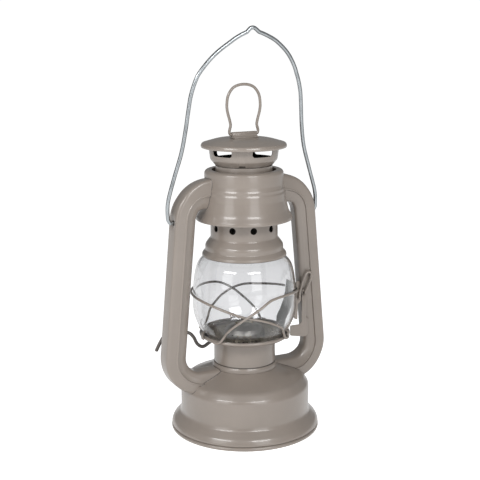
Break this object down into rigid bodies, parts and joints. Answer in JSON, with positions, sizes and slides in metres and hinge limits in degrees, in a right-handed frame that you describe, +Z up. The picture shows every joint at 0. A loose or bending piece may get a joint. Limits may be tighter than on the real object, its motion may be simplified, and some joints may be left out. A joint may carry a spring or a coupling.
{
  "type": "hurricane lantern",
  "caption": "Cold-blast oil lantern: sheet-metal fount, side air tubes, caged glass globe on a lever lift, vented chimney and wire bail.",
  "frame": {"origin": "middle of the resting rim of the fount, at the height of the surface it stands on", "axes": "+Z up along the globe's axis, +X towards the side tube with the thumb lever, -Y towards the front"},
  "size_m": [0.1282, 0.1084, 0.2896],
  "materials": {
    "taupe_paint": "satin taupe paint on pressed steel",
    "galvanised_wire": "bright galvanised wire",
    "plain_steel": "plain tinned steel, slightly dull",
    "brass": "plain pressed brass",
    "rubber": "black rubber seal",
    "cotton": "woven cotton wick",
    "clear_glass": "clear blown glass"
  },
  "bodies": {
    "root": {"fount_shell": "taupe_paint", "fount_bottom": "plain_steel", "fuel_plate": "plain_steel", "filler_neck": "brass", "air_collar": "taupe_paint", "collar_ring": "taupe_paint", "burner_seat": "plain_steel", "burner_body": "brass", "burner_gallery": "plain_steel", "burner_cone": "plain_steel", "wick_tube": "brass", "lever_bracket": "taupe_paint", "side_tube_left": "taupe_paint", "side_tube_right": "taupe_paint", "canopy": "taupe_paint", "chimney_spring": "plain_steel"},
    "filler_gasket": {"filler_gasket": "rubber"},
    "filler_cap": {"filler_cap": "brass"},
    "wick_crank": {"wick_crank": "plain_steel", "wick_wheel_1": "brass", "wick_wheel_2": "brass"},
    "wick": {"wick": "cotton"},
    "lift_lever": {"lift_lever": "taupe_paint"},
    "globe_carrier": {"globe_plate": "taupe_paint", "globe": "clear_glass", "globe_clip_1": "taupe_paint", "globe_clip_2": "taupe_paint", "globe_clip_3": "taupe_paint", "guard_wire_lower": "taupe_paint", "guard_wire_front": "taupe_paint", "guard_wire_back": "taupe_paint", "lift_strap": "taupe_paint", "lift_tab": "taupe_paint"},
    "chimney": {"crown": "taupe_paint", "chimney_neck": "taupe_paint", "window_ring": "taupe_paint", "hood": "taupe_paint", "ring_tab": "taupe_paint"},
    "lift_ring": {"lift_ring": "taupe_paint"},
    "bail": {"bail": "galvanised_wire"}
  },
  "joints": [
    {"name": "bail_swing", "type": "hinge", "parent": "root", "child": "bail", "pos_m": [0, 0, 0.1563], "axis": [1, 0, 0], "range_deg": [-149.5, 140.5]},
    {"name": "globe_lift", "type": "slide", "parent": "root", "child": "globe_carrier", "axis": [0, 0, 1], "range_m": [0, 0.0049]},
    {"name": "lever_turn", "type": "hinge", "parent": "root", "child": "lift_lever", "pos_m": [0.0456, -0.0088, 0.0955], "axis": [0, 1, 0], "range_deg": [0, 54]},
    {"name": "chimney_lift", "type": "slide", "parent": "globe_carrier", "child": "chimney", "axis": [0, 0, 1], "range_m": [0, 0.008], "stiffness_N_per_m": 60, "springref_m": -0.008, "deforming": ["chimney_spring"]},
    {"name": "ring_swing", "type": "hinge", "parent": "chimney", "child": "lift_ring", "pos_m": [0, 0, 0.2151], "axis": [1, 0, 0], "range_deg": [-85, 85]},
    {"name": "wick_turn", "type": "hinge", "parent": "root", "child": "wick_crank", "pos_m": [0.00113, 0.0031, 0.0648], "axis": [-0.9397, 0.342, 0], "range_deg": [-70, 70]},
    {"name": "wick_lift", "type": "slide", "parent": "root", "child": "wick", "axis": [0, 0, 1], "range_m": [-0.00256, 0.00256]},
    {"name": "gasket_slide", "type": "slide", "parent": "root", "child": "filler_gasket", "axis": [0, 0, 1], "range_m": [0, 0.003]},
    {"name": "cap_turn", "type": "hinge", "parent": "filler_gasket", "child": "filler_cap", "pos_m": [0.00932, 0.03477, 0.0495], "axis": [0, 0, 1], "range_deg": [0, 540]}
  ],
  "couplings": [
    {"joint": "lever_turn", "follows": "globe_lift", "rad_per_m": 192.3},
    {"joint": "wick_turn", "follows": "wick_lift", "rad_per_m": 476.19},
    {"joint": "cap_turn", "follows": "gasket_slide", "rad_per_m": 3141.6}
  ]
}
